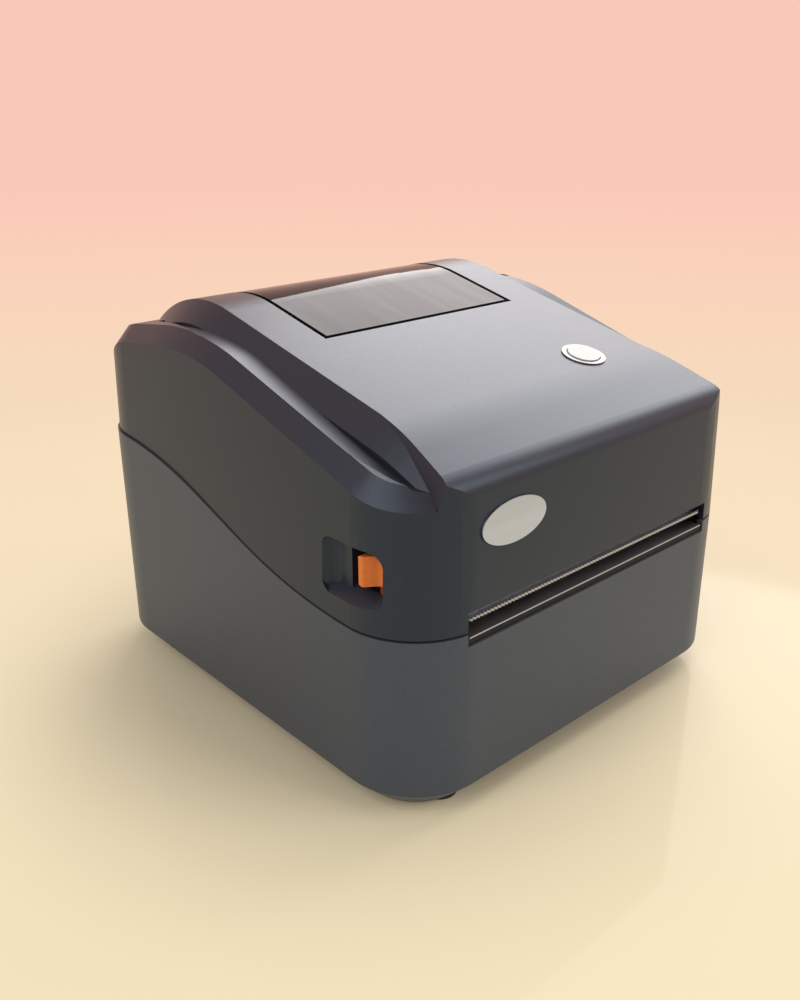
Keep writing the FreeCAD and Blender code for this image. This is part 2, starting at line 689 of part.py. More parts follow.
block(usb, ("-42.8", f"{REAR} - 10", f"{BOARD_TOP} + 3.9"), ("-37.2", f"{REAR} - 2", f"{BOARD_TOP} + 7.1"))
named(usb, "usb_port")
inlet = new_body("dc_jack")
block(inlet, ("15", f"{REAR} - 14.7", BOARD_TOP), ("25", f"{REAR} - 0.3", f"{BOARD_TOP} + 11"))
disc(inlet, "XZ", f"{REAR} - 10.3", f"{REAR} + 1", "20", f"{BOARD_TOP} + 5.9", "3", cut=True)
disc(inlet, "XZ", f"{REAR} - 11", f"{REAR} - 2", "20", f"{BOARD_TOP} + 5.9", "1")
named(inlet, "dc_jack")
SWITCH_Y = f"({REAR} - 5)"
SWITCH_Z = "45"
switch = new_body("power_switch")
prism(switch, "XZ", f"{REAR} - 14", f"{REAR} - 0.2", rectangle("40.2", "38.2", "59.8", "51.8", "0.9"))
block(switch, ("42", f"{REAR} - 9", "40"), ("58", f"{REAR} + 1", "50"), cut=True)
disc(switch, "YZ", "41", "59", SWITCH_Y, SWITCH_Z, "1 + running_gap", cut=True)
named(switch, "power_switch")
rocker = new_body("power_rocker")
prism(rocker, "YZ", "42.3", "57.7", [
    (f"{SWITCH_Y} - 1.5", f"{SWITCH_Z} - 4"),
    (f"{SWITCH_Y} + 3.2", f"{SWITCH_Z} - 4.2", "0.6"),
    (f"{SWITCH_Y} + 3.6", f"{SWITCH_Z}"),
    (f"{SWITCH_Y} + 3.2", f"{SWITCH_Z} + 4.2", "0.6"),
    (f"{SWITCH_Y} - 1.5", f"{SWITCH_Z} + 4"),
])
disc(rocker, "YZ", "41.2", "58.8", SWITCH_Y, SWITCH_Z, "1")
named(rocker, "power_rocker")

# Roll guides: two like mouldings with racks, driven apart and together by one pinion
RACK_TEETH = 16
rack_module = value_of("rack_module")
rack_pitch = math.pi * rack_module
guide_middle = value_of("guide_y")
pitch_line = guide_middle - rack_module * RACK_TEETH / 2 - 0.12
root_line = pitch_line - 1.25 * rack_module
rack_points = [(-42, root_line - 3.5), (24, root_line - 3.5), (24, root_line)]
flare = math.tan(math.radians(20))
for tooth in range(6, -10, -1):
    middle = rack_pitch * (tooth + 0.5)
    half = rack_pitch / 4 - 0.05
    if -33 < middle < 22:
        rack_points.append((middle + half + 1.25 * rack_module * flare, root_line))
        rack_points.append((middle + half - rack_module * flare, pitch_line + rack_module))
        rack_points.append((middle - half + rack_module * flare, pitch_line + rack_module))
        rack_points.append((middle - half - 1.25 * rack_module * flare, root_line))
rack_points.append((-42, root_line))
guides = []
for label, turn in (("left_guide", 0), ("right_guide", 180)):
    guide = new_body(label + "_plate")
    prism(guide, "YZ", "-guide_x - guide_thickness", "-guide_x", [
        ("guide_y - 22", "tub_floor_z + 5.5", "14"),
        ("guide_y + 22", "tub_floor_z + 5.5", "14"),
        ("guide_y + 22", "tub_floor_z + 5.5 + guide_height", "10"),
        ("guide_y - 22", "tub_floor_z + 5.5 + guide_height", "10"),
    ])
    prism(guide, "YZ", "-guide_x - guide_thickness", "-guide_x",
          rectangle("guide_y - 3", "rack_z", "guide_y + 3", "tub_floor_z + 9"))
    prism(guide, "YZ", "-guide_x - guide_thickness", "-guide_x",
          rectangle("guide_y - 14", "rack_z", "guide_y + 3", "rack_z + rack_height"))
    disc(guide, "YZ", "-guide_x", "-guide_x + 6", "guide_y", "tub_floor_z + 28", "10")
    disc(guide, "YZ", "-guide_x - 10", "-guide_x + 10", "guide_y", "tub_floor_z + 28", "6", cut=True)
    rack = doc.addObject("Part::Feature", label + "_rack")
    loop = [Vector(x, y, 0) for x, y in rack_points]
    rack.Shape = Part.Face(Part.makePolygon(loop + loop[:1])).extrude(Vector(0, 0, value_of("rack_height")))
    rack.Placement = Placement(Vector(0, 0, value_of("rack_z")), Rotation())
    whole = named(boolean("Fuse", label, guide, [rack]), label)
    whole.Placement = Placement(Vector(), Rotation(Vector(0, 0, 1), turn), Vector(0, guide_middle, 0))
guide_pinion = gear("guide_pinion", RACK_TEETH, rack_module, 2.5 + value_of("running_gap"), value_of("rack_height"))
guide_pinion.Placement = Placement(Vector(0, guide_middle, value_of("rack_z")), Rotation())
guide_post = new_body("guide_post")
disc(guide_post, "XY", "foot_height + 3", "rack_z + rack_height + 0.4", "0", "guide_y", "2.5")
disc(guide_post, "XY", "rack_z + rack_height + 0.4", "rack_z + rack_height + 1.4", "0", "guide_y", "4")
named(guide_post, "guide_post")

# Pins of the hinge, latches and keepers
hinge_pins = []
latch_pins = []
keeper_pins = []
for sign in (1, -1):
    low, high = span("30", "66", sign)
    hinge_pins.append(rod("hinge_pin", "X", low, high, "hinge_y", "hinge_z", "hinge_pin_radius"))
    low, high = span("73.2", "81", sign)
    latch_pins.append(rod("latch_pin", "X", low, high, "latch_y", "latch_z", "latch_pin_radius"))
    low, high = span("75.5", f"{HALF} - 1.5", sign)
    keeper_pins.append(rod("keeper_pin", "X", low, high, "latch_y + 6", f"{PLATEN_Z} - 1", "keeper_radius"))
group("hinge_pins", hinge_pins)
group("latch_pins", latch_pins)
group("keeper_pins", keeper_pins)

# Lid: swept shoulders with a bevelled rim, a raised bevelled centre panel, hollow, cut at the parting line
LID_TOP = "(crown_z + 5)"
lid_plan = new_body("lid_plan")
prism(lid_plan, "XY", "split_front_z", LID_TOP, plan_corners("0"), draft="-lid_draft")
core_plan = new_body("core_plan")
prism(core_plan, "XY", "split_front_z", LID_TOP, plan_corners("lid_wall"), draft="-lid_draft")
cheek_form = new_body("cheek_form")
prism(cheek_form, "YZ", f"-{HALF} - 5", f"{HALF} + 5", cheek_corners("0"))
cheek_block = boolean("Common", "cheek_block", cheek_form, [lid_plan])
cheeks = new_body("cheeks", cheek_block)


def on_rim(edge):
    """True for the edges where the shoulders' top meets the outer wall."""
    if edge.BoundBox.ZMin < value_of("split_front_z") + 5:
        return False
    middle = edge.valueAt((edge.FirstParameter + edge.LastParameter) / 2)
    lean = math.tan(math.radians(value_of("lid_draft"))) * (middle.z - value_of("split_front_z"))
    radius = value_of("corner_radius") - lean
    over_x = abs(middle.x) - (value_of(HALF) - lean - radius)
    over_y = abs(middle.y) - (value_of(REAR) - lean - radius)
    reach = math.hypot(max(over_x, 0), max(over_y, 0)) + min(max(over_x, over_y), 0)
    return abs(reach - radius) < 0.05


chamfer(cheeks, "rim_bevel", on_rim)


def scoop_form(name, sign):
    """A pointed groove along the panel, deepest beside it and running out at its outer edge."""
    inner = "(panel_half - 4)"
    lens = new_body(name + "_lens")
    prism(lens, "XY", "cheek_front_z - 20", LID_TOP, [
        (side(inner, sign), "scoop_front_y"),
        (side("panel_half", sign), "scoop_front_y"),
        (side("scoop_outer", sign), "scoop_front_y + 34", "90"),
        (side("scoop_outer", sign), "scoop_rear_y - 42", "140"),
        (side("panel_half", sign), "scoop_rear_y"),
        (side(inner, sign), "scoop_rear_y"),
    ])
    line = doc.addObject("Sketcher::SketchObject", name + "_line")
    line.Placement = Placement(Vector(sign * value_of(inner), 0, 0), Rotation(Vector(1, 1, 1), 120))
    slant = value_of("scoop_depth / (scoop_outer - panel_half)")
    deepest = value_of("scoop_depth") + 4 * slant
    outline(line, over_cheek(str(deepest)))
    run = value_of(f"scoop_outer - {inner}") + 3
    floor = doc.addObject("Part::Extrusion", name + "_floor")
    floor.Base = line
    floor.DirMode = "Custom"
    floor.Dir = Vector(sign, 0, slant)
    floor.LengthFwd = run * math.sqrt(1 + slant * slant)
    floor.Solid = True
    return boolean("Common", name, lens, [floor])


scoops = boolean("Fuse", "scoops", scoop_form("right_scoop", 1), [scoop_form("left_scoop", -1)])
shoulders = boolean("Cut", "shoulders", cheeks, [scoops])
panel_form = new_body("panel_form")
prism(panel_form, "YZ", "-panel_half", "panel_half", panel_corners("0"))


def on_panel_side(edge):
    box = edge.BoundBox
    flat = box.XLength < 0.01 and abs(abs(box.XMin) - value_of("panel_half")) < 0.01
    return flat and box.ZMax > value_of("split_front_z") + 1


chamfer(panel_form, "panel_bevel", on_panel_side)
panel_block = boolean("Common", "panel_block", panel_form, [lid_plan])


def flare_side(name, sign):
    """All that lies inside a steep plane which opens the panel's top edge outward to the nose."""
    flare_drop = 3
    start_x = sign * value_of("panel_half - panel_bevel")
    front_x = sign * value_of("flare_front_half")
    start_y = value_of("flare_start_y")
    front_y = value_of(f"{FRONT} + 4")
    start = Vector(start_x, start_y, value_of(f"nose_z + {SLOPE} * (flare_start_y - {FRONT})"))
    front = Vector(front_x, front_y, value_of(f"nose_front_z + {NOSE_SLOPE} * 4"))
    outward = (front - start).cross(Vector(sign, 0, -flare_drop)) * sign
    reach = 2 * value_of("case_depth")
    side_box = doc.addObject("Part::Box", name)
    side_box.Length = reach
    side_box.Width = reach
    side_box.Height = reach
    turned = Placement(start, Rotation(Vector(0, 0, 1), outward))
    side_box.Placement = turned.multiply(Placement(Vector(-reach / 2, -reach / 2, -reach), Rotation()))
    return side_box


nose_form = new_body("nose_form")
prism(nose_form, "YZ", "-panel_half", "panel_half", panel_corners("0"))
nose_right = boolean("Common", "nose_right", nose_form, [flare_side("right_flare", 1)])
nose_both = boolean("Common", "nose_both", nose_right, [flare_side("left_flare", -1)])
nose_block = boolean("Common", "nose_block", nose_both, [lid_plan])
lid_outer = boolean("Fuse", "lid_outer", shoulders, [panel_block, nose_block])
lid_outer.Refine = True
hollow = new_body("hollow_form")
prism(hollow, "YZ", "-panel_half + 10", "panel_half - 10", panel_corners("lid_wall"))
prism(hollow, "YZ", f"-{HALF} + 7", f"{HALF} - 7", cheek_corners("lid_wall + scoop_depth"))
prism(hollow, "YZ", f"-{HALF} - 5", f"{HALF} + 5", cheek_corners("lid_wall + rim_bevel + 2.5"))
lid_core = boolean("Common", "lid_core", hollow, [core_plan])
lid_hollow = boolean("Cut", "lid_hollow", lid_outer, [lid_core])
below = new_body("below_split")
prism(below, "YZ", f"-{HALF} - 5", f"{HALF} + 5", split_corners("seam", "0"))
lid_shell = boolean("Cut", "lid_shell", lid_hollow, [below])
barrel = rod("barrel_bar", "X", "-75", "75", "hinge_y", "hinge_z", "hinge_radius")
lid_barrel = boolean("Common", "lid_barrel", barrel, [lid_plan])
# latch recesses: a shallow dish that leads a finger to a pocket behind a rounded mouth
DISH_X = f"({HALF} - dish_depth)"
MOUTH_X = f"({HALF} - 7)"
recess_walls = []
recess_spaces = []
for sign in (1, -1):
    recess = new_body("recess_block")
    low, high = span("pocket_floor_x - 2.5", f"{HALF} - 1", sign)
    block(recess, (low, "-86", "recess_low_z - 2"), (high, "recess_wall_y + 2.5", "recess_high_z + 2.5"))
    low, high = span(f"{DISH_X} - 2.8", f"{HALF} - 1", sign)
    block(recess, (low, "recess_wall_y", "recess_low_z - 2"), (high, "recess_rear_y + 2", "recess_high_z + 2.5"))
    recess_walls.append(boolean("Common", "recess_wall", recess, [lid_plan]))
    mouth = new_body("recess_mouth")
    low, high = span(MOUTH_X, f"{HALF} + 6", sign)
    prism(mouth, "YZ", low, high,
          rectangle("recess_front_y", "recess_low_z", "recess_rear_y + 0.3", "recess_high_z", "recess_corner"))
    ramp = new_body("recess_ramp")
    prism(ramp, "XY", "recess_low_z - 10", "recess_high_z + 10", [
        (side(f"{MOUTH_X} - 1", sign), "recess_front_y - 5"),
        (side(f"{MOUTH_X} - 1", sign), "recess_wall_y"),
        (side(DISH_X, sign), "recess_wall_y"),
        (side(DISH_X, sign), "recess_rear_y - 3.1", "4"),
        (side(f"{HALF} + 5.5", sign), "recess_rear_y + 4.3"),
        (side(f"{HALF} + 5.5", sign), "recess_front_y - 5"),
    ])
    ledge = new_body("recess_ledge")
    prism(ledge, "XZ", "recess_front_y - 5", "recess_rear_y + 6", [
        (side(f"{MOUTH_X} - 1", sign), "recess_low_z + 4.6"),
        (side(HALF, sign), "recess_low_z"),
        (side(f"{HALF} + 6", sign), "recess_low_z - 3.5"),
        (side(f"{HALF} + 6", sign), "recess_high_z + 5"),
        (side(f"{MOUTH_X} - 1", sign), "recess_high_z + 5"),
    ])
    sloped = boolean("Common", "sloped_mouth", mouth, [ramp])
    recess_spaces.append(boolean("Common", "ledged_mouth", sloped, [ledge]))
    pocket = new_body("recess_pocket")
    low, high = span("pocket_floor_x", f"{MOUTH_X} + 0.2", sign)
    block(pocket, (low, "recess_front_y - 3.3", "recess_low_z + 0.2"), (high, "recess_wall_y", "recess_high_z - 0.8"))
    recess_spaces.append(pocket)
recess_space = boolean("Fuse", "recess_space", recess_spaces[0], recess_spaces[1:])
TILT = math.degrees(math.atan(value_of(SLOPE)))
button_spot = Vector(value_of("button_x"), value_of("button_y"), value_of(f"nose_z + {SLOPE} * (button_y - {FRONT})"))
button_place = Placement(button_spot, Rotation(Vector(1, 0, 0), TILT))


def button_rod(name, low, high, radius, x=0):
    """A round bar square to the sloping panel, under or through the feed button."""
    bar = doc.addObject("Part::Cylinder", name)
    bar.setExpression("Radius", bind(f"1 * ({radius})"))
    bar.setExpression("Height", bind(f"({high}) - ({low})"))
    bar.Placement = button_place.multiply(Placement(Vector(x, 0, value_of(low)), Rotation()))
    return bar


stand_offs = [button_rod("stand_off", "-7.4", "-2", "2.5", x) for x in (-12, 12)]
lid_joined = boolean("Fuse", "lid_joined", lid_shell, [lid_barrel] + recess_walls + stand_offs)
lid_opened = boolean("Cut", "lid_opened", lid_joined, [recess_space])
top = new_body("top_shell", lid_opened)
for sign in (1, -1):
    for low, high in (("30 - part_gap", "40 + part_gap"), ("56 - part_gap", "66 + part_gap")):
        low, high = span(low, high, sign)
        block(top, (low, "hinge_y - 8", "hinge_z - 8"), (high, f"{REAR} + 5", "hinge_z + hinge_radius + 0.6"),
              cut=True)
    low, high = span("40", "56", sign)
    disc(top, "YZ", low, high, "hinge_y", "hinge_z", "hinge_pin_radius + running_gap", cut=True)
    low, high = span("pocket_floor_x", "pocket_floor_x + 5.1", sign)
    block(top, (low, "latch_y - 10", "recess_low_z - 6"), (high, "latch_y + 4", "recess_low_z + 1"), cut=True)
    low, high = span("73", "76", sign)
    disc(top, "YZ", low, high, "latch_y", "latch_z", "latch_pin_radius", cut=True)
    for place, height in ((f"{PLATEN_Y} - 2", "nose_z + 0.5"), (f"{PLATEN_Y} + 14", "nose_z + 5")):
        disc(top, "XY", f"{BRACKET_Z} + 1.5", height, side("56", sign), place, "3.6")
        disc(top, "XY", f"{BRACKET_Z} + 1.5", f"{BRACKET_Z} + 10", side("56", sign), place, "1.4", cut=True)
block(top, ("-slot_half", f"{FRONT} - 5", "split_front_z - 5"), ("slot_half", f"{FRONT} + lid_wall + 2", SLOT_TOP),
      cut=True)
block(top, ("-slot_half + 1", f"{FRONT} + lid_wall - 0.5", SLOT_TOP),
      ("slot_half - 1", f"{FRONT} + lid_wall + 1.6", f"{SLOT_TOP} + 6"))
block(top, ("-window_half + window_lip", "window_front_y + window_lip", "110"),
      ("window_half - window_lip", "window_rear_y - window_lip", LID_TOP), cut=True, radius="3")


def window_form(name, inset, gap):
    """A sheet that follows the panel over its peak."""
    form = new_body(name)
    prism(form, "YZ", f"-window_half + ({gap})", f"window_half - ({gap})", panel_corners(inset))
    prism(form, "YZ", "-window_half - 1", "window_half + 1", panel_corners("window_thickness"), cut=True)
    block(form, ("-90", "-150", "0"), ("90", f"window_front_y + ({gap})", "200"), cut=True)
    block(form, ("-90", f"window_rear_y - ({gap})", "0"), ("90", "150", "200"), cut=True)
    return form


def badge_form(name, grow, depth, proud):
    """An oval on the leaning front face."""
    lean = value_of("lid_draft")
    oval = Part.Ellipse(Vector(), value_of("badge_long") / 2 + grow, value_of("badge_short") / 2 + grow)
    item = doc.addObject("Part::Feature", name)
    item.Shape = Part.Face(Part.Wire(oval.toShape())).extrude(Vector(0, 0, depth + proud))
    face_y = value_of(f"{FRONT} + tan(lid_draft) * (badge_z - split_front_z)")
    spot = Vector(value_of("badge_x"), face_y, value_of("badge_z"))
    upright = Placement(spot, Rotation(Vector(1, 0, 0), 90 - lean))
    item.Placement = upright.multiply(Placement(Vector(0, 0, -depth), Rotation()))
    return item


sink = badge_form("badge_sink", 0.2, 0.5, 2)
rebate = window_form("window_rebate", "-2", "0")
openings = [rebate, button_rod("button_way", "-6", "3", "button_radius + 0.3"),
            button_rod("ring_seat", "-1.5", "3", "ring_radius + 0.05")]
lid_tools = boolean("Fuse", "lid_tools", sink, openings)
named(boolean("Cut", "top_cover", top, [lid_tools]), "top_cover")
named(window_form("window_sheet", "0.1", "window_gap"), "window")
named(badge_form("badge", 0, 0.5, value_of("badge_thickness - 0.5")), "badge")

ring = boolean("Cut", "button_ring", button_rod("ring_bar", "-1.5", "0.5", "ring_radius"),
               [button_rod("ring_bore", "-3", "3", "button_radius + 0.3")])
named(ring, "button_ring")
button = boolean("Fuse", "feed_button", button_rod("button_cap", "-4.6", "0.9", "button_radius"),
                 [button_rod("button_collar", "-4.6", "-3.5", "button_radius + 1.4")])
named(button, "feed_button")
plate = doc.addObject("Part::Box", "board_plate")
plate.Length = 32
plate.Width = 16
plate.Height = 1.6
plate.Placement = button_place.multiply(Placement(Vector(-16, -8, -9), Rotation()))
named(boolean("Fuse", "button_board", plate, [button_rod("switch_can", "-7.4", "-6", "3")]), "button_board")

# Tear bar with a saw-toothed front edge
TOOTH = 1.6
tear = new_body("tear_strip")
block(tear, ("-slot_half + 1.5", f"{FRONT} + 1.8", f"{SLOT_TOP} - 3.7"),
      ("slot_half - 1.5", f"{FRONT} + lid_wall + 2.6", f"{SLOT_TOP} - 2.9"))
block(tear, ("-slot_half + 1.5", f"{FRONT} + lid_wall + 1.6", f"{SLOT_TOP} - 3.7"),
      ("slot_half - 1.5", f"{FRONT} + lid_wall + 2.6", f"{SLOT_TOP} + 5"))
half_bar = value_of("slot_half - 1.5")
count = int(2 * half_bar / TOOTH)
edge_y = value_of(f"{FRONT} + 1.8")
saw = [Vector(-half_bar, edge_y + 0.2, 0)]
for tooth in range(count):
    saw.append(Vector(-half_bar + TOOTH * tooth, edge_y, 0))
    saw.append(Vector(-half_bar + TOOTH * (tooth + 0.5), edge_y - 1, 0))
saw.append(Vector(-half_bar + TOOTH * count, edge_y, 0))
saw.append(Vector(-half_bar + TOOTH * count, edge_y + 0.2, 0))
teeth = doc.addObject("Part::Feature", "tear_teeth")
teeth.Shape = Part.Face(Part.makePolygon(saw + saw[:1])).extrude(Vector(0, 0, 0.8))
teeth.Placement = Placement(Vector(0, 0, value_of(f"{SLOT_TOP} - 3.7")), Rotation())
named(boolean("Fuse", "tear_bar", tear, [teeth]), "tear_bar")

# Latches: a tab with a proud rib and a hollow face, an arm and a hook
RIB_X = f"({HALF} - 2.4)"
for label, sign in (("right_latch", 1), ("left_latch", -1)):
    tab = new_body(label + "_tab")
    prism(tab, "XY", "tab_low_z - 2", "tab_high_z + 2", [
        (side("pocket_floor_x + part_gap", sign), "latch_y + 4.7"),
        (side(RIB_X, sign), "latch_y + 4.7", "1.2"),
        (side(RIB_X, sign), "latch_y + 2", "0.8"),
        (side(f"{RIB_X} - 4.1", sign), "latch_y - 0.8", "2.5"),
        (side(f"{RIB_X} - 6.1", sign), "latch_y - 5.8"),
        (side("pocket_floor_x + part_gap", sign), "latch_y - 5.8"),
    ])
    face = new_body(label + "_face")
    low, high = span("pocket_floor_x - 5", f"{HALF} + 5", sign)
    prism(face, "YZ", low, high, rectangle("latch_y - 5.8", "tab_low_z", "latch_y + 4.7", "tab_high_z", "2"))
    latch = new_body(label, boolean("Common", label + "_tab_form", tab, [face]))
    low, high = span("pocket_floor_x + part_gap", "pocket_floor_x + 4.3", sign)
    prism(latch, "YZ", low, high, [
        ("latch_y - 3.5", "latch_z - 4"),
        ("latch_y - 3.5", f"{PLATEN_Z} - 7.5", "1"),
        ("latch_y + 6 - keeper_radius - part_gap", f"{PLATEN_Z} - 7.5", "1"),
        ("latch_y + 6 - keeper_radius - part_gap", f"{PLATEN_Z} - 4"),
        ("latch_y + 1.5", f"{PLATEN_Z} - 4"),
        ("latch_y + 1.5", "latch_z - 4"),
    ])
    low, high = span("75", "81.3", sign)
    disc(latch, "YZ", low, high, "latch_y", "latch_z", "latch_pin_radius + running_gap", cut=True)
    named(latch, label)

# Print head under the lid, floating on springs below a sheet bracket
HEAD_FRONT = f"({PLATEN_Y} - 11.5)"
HEAD_REAR = f"({PLATEN_Y} + 16)"
SPRING_Y = f"({PLATEN_Y} + 2)"
bracket = new_body("head_bracket")
block(bracket, ("-62", f"{PLATEN_Y} - 8", BRACKET_Z), ("62", f"{PLATEN_Y} + 19", f"{BRACKET_Z} + 1.5"), radius="3")
for sign in (1, -1):
    low, high = span("60.5", "62", sign)
    block(bracket, (low, f"{PLATEN_Y} - 4", f"{BRACKET_Z} - 7"), (high, f"{PLATEN_Y} + 15", BRACKET_Z))
    disc(bracket, "XY", BRACKET_Z, f"{BRACKET_Z} + 1.5", side("46", sign), SPRING_Y, "2.08", cut=True)
    for place in (f"{PLATEN_Y} - 2", f"{PLATEN_Y} + 14"):
        disc(bracket, "XY", BRACKET_Z, f"{BRACKET_Z} + 1.5", side("56", sign), place, "1.5", cut=True)
named(bracket, "head_bracket")
bracket_screws = []
for sign in (1, -1):
    for place in (f"{PLATEN_Y} - 2", f"{PLATEN_Y} + 14"):
        screw = new_body("bracket_screw")
        disc(screw, "XY", BRACKET_Z, f"{BRACKET_Z} + 8", side("56", sign), place, "1.4")
        disc(screw, "XY", f"{BRACKET_Z} - 1.6", BRACKET_Z, side("56", sign), place, "2.6")
        bracket_screws.append(screw)
group("bracket_screws", bracket_screws)
heat_sink = new_body("heat_sink")
block(heat_sink, ("-58", HEAD_FRONT, f"{HEAD_Z} + 2"), ("58", HEAD_REAR, f"{HEAD_Z} + 9.7"))
for index in range(4):
    for low, high in (("-59", "-53"), ("53", "59")):
        place = f"({HEAD_FRONT} + 4 + 5.4 * {index})"
        block(heat_sink, (low, place, f"{HEAD_Z} + 5"), (high, f"{place} + 2.4", f"{HEAD_Z} + 11"), cut=True)
for sign in (1, -1):
    disc(heat_sink, "XY", f"{HEAD_Z} + 5", f"{HEAD_Z} + 9.7", side("46", sign), SPRING_Y, "2", cut=True)
named(heat_sink, "heat_sink")
print_head = new_body("print_head")
block(print_head, ("-57", HEAD_FRONT, HEAD_Z), ("57", HEAD_REAR, f"{HEAD_Z} + 2"))
named(print_head, "print_head")
group("head_guides", [rod("head_guide", "Z", f"{HEAD_Z} + 5", f"{BRACKET_Z} + 4", side("46", sign), SPRING_Y, "2")
                      for sign in (1, -1)])


def coil(name, radius, wire, turns, height):
    """A coil spring as one tube along quarter-turn arcs."""
    steps = turns * 8

    def spot(step):
        angle = math.pi * step / 4
        rise = wire + (height - 2 * wire) * step / steps
        return Vector(radius * math.cos(angle), radius * math.sin(angle), rise)

    arcs = [Part.Arc(spot(i), spot(i + 1), spot(i + 2)).toShape() for i in range(0, steps, 2)]
    path = Part.Wire(arcs)
    start = Part.Circle(spot(0), arcs[0].tangentAt(arcs[0].FirstParameter), wire)
    shell = path.makePipeShell([Part.Wire(start.toShape())], True, False)
    item = doc.addObject("Part::Feature", name)
    item.Shape = Part.Solid(shell) if shell.ShapeType != "Solid" else shell
    gap = (height - 2 * wire) / turns - 2 * wire
    print(name, "least gap between turns", round(gap, 2))
    return item


springs = []
for place in (-30, 0, 30):
    spring = coil("head_spring", 3.2, 0.5, 5, value_of(f"{BRACKET_Z} - {HEAD_Z} - 9.7") - 0.1)
    spring.Placement = Placement(Vector(place, value_of(SPRING_Y), value_of(f"{HEAD_Z} + 9.75")), Rotation())
    springs.append(spring)
group("head_springs", springs)

doc.recompute()
bad = [item.Name for item in doc.Objects if "Invalid" in item.State or "Error" in item.State]
bad += [item.Label for item in nodes if item.Shape.isNull() or not item.Shape.isValid() or not item.Shape.Solids]
if bad:
    raise RuntimeError("unsound: " + ", ".join(bad))
os.makedirs("parts", exist_ok=True)
for item in nodes:
    shape = item.Shape
    print(item.Label, len(shape.Solids), round(shape.Volume, 1), shape.BoundBox)
    shape.exportStep(f"parts/{item.Label}.step")
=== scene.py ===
import json
import math

import bpy
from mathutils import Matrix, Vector


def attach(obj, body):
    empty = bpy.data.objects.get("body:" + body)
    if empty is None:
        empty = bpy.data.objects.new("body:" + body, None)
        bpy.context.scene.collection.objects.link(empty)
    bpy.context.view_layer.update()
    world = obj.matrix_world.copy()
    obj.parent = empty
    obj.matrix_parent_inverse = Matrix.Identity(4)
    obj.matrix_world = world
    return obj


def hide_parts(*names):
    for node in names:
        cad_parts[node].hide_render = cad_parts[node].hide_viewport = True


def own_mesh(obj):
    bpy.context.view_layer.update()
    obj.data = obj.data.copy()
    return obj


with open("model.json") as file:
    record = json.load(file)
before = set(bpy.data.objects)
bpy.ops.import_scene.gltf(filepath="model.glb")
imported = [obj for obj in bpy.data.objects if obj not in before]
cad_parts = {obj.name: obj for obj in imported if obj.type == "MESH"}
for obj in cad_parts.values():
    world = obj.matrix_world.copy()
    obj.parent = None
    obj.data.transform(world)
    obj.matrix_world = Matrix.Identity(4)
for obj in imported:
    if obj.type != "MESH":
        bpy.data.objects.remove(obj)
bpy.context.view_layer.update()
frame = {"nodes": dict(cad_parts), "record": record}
scene = bpy.context.scene
scene.view_settings.view_transform = "Standard"

# Camera: the photograph's view, for an image 800 wide and 1000 high
CAMERA_PLACE = Vector((-0.2639, -0.2868, 0.2269))
CAMERA_TARGET = Vector((0, 0, 0.070))
CAMERA_LENS = 36.95
CAMERA_SHIFT = (-0.0120, -0.0122)
SENSOR_WIDTH = 36
NEAR_CLIP = 0.01

# Lamps: place, width and height in metres, and power in watts
LAMPS = {
    "key": ((1.02, 0.34, 0.90), (1.5, 0.8), 17),
    "fill": ((-1.0, -0.2, 0.9), (0.9, 0.9), 7),
    "front": ((0.5, -1.0, 0.7), (0.8, 0.6), 5),
}

# Stage colours: the floor runs from cream before the part to peach far behind it
FLOOR_NEAR = (0.95, 0.85, 0.54)
FLOOR_BESIDE = (0.89, 0.75, 0.52)
FLOOR_BEHIND = (0.95, 0.66, 0.50)
BACKDROP_COLOUR = (0.96, 0.58, 0.48)
BOUNCE_COLOUR = (0.66, 0.66, 0.66)
BLACK = (0, 0, 0)
SKY_COLOUR = (0.93, 0.95, 1.0, 1)
SKY_LEVEL = 0.25

# Floor: its half width, the way its colours run, the depths in metres that they run between, and the
# shares of that run where the two middle colours lie
FLOOR_REACH = 12
FLOOR_AWAY = (0.677, 0.736, 0)
FLOOR_DEPTH = (-0.5, 3.0)
BESIDE_STOP = 0.15
BEHIND_STOP = 0.35
FLOOR_ROUGHNESS = 0.07
FLOOR_SHEEN = 0.05
FLOOR_PATCHES = (6, 0.02)

# Distances from the part, in metres: lit floor gives way to the floor's own colour, which then covers
# its gloss too, and at last fades to the backdrop's colour
LIT_FLOOR = (0.09, 0.20)
NEAR_LEVEL = 0.91
MIRROR_FLOOR = (0.18, 0.45)
HAZE = (0.6, 2.2)

# Surface patterns: how fine each one is and how far it varies
SKIN_MOTTLE = (900, 0.06)
SKIN_GLOSS = (1400, 0.03)
SKIN_GRAIN = 3800
DRAWN_MOTTLE = (90, 0.1)
DRAWN_GLOSS = (140, 0.06)
DRAWN_GRAIN = (900, 0.15)
WINDOW_GLOSS = (30, 0.015)
WINDOW_WAVES = (26, 0.5, 0.0012)
PATTERN_DETAIL = 4
GRAIN_DETAIL = 3
GRAIN_DEPTH = 0.00005
PATTERN_SPAN = (0.35, 0.65)
ALONG_X = (0.05, 1, 1)
ACROSS_X = (1, 0.2, 0.2)
COOL_SHEEN = (0.58, 0.80, 0.97, 1)

# Shells whose edges stay crisp where their faces meet at more than this angle in degrees
CRISP_NODES = ("top_cover", "base_shell")
CRISP_ANGLE = 22


def point_at(item, target):
    item.rotation_euler = (target - item.location).to_track_quat("-Z", "Y").to_euler()


def add_camera():
    camera = bpy.data.objects.new("camera", bpy.data.cameras.new("camera"))
    scene.collection.objects.link(camera)
    camera.location = CAMERA_PLACE
    point_at(camera, CAMERA_TARGET)
    camera.data.lens = CAMERA_LENS
    camera.data.sensor_width = SENSOR_WIDTH
    camera.data.shift_x, camera.data.shift_y = CAMERA_SHIFT
    camera.data.clip_start = NEAR_CLIP
    scene.camera = camera


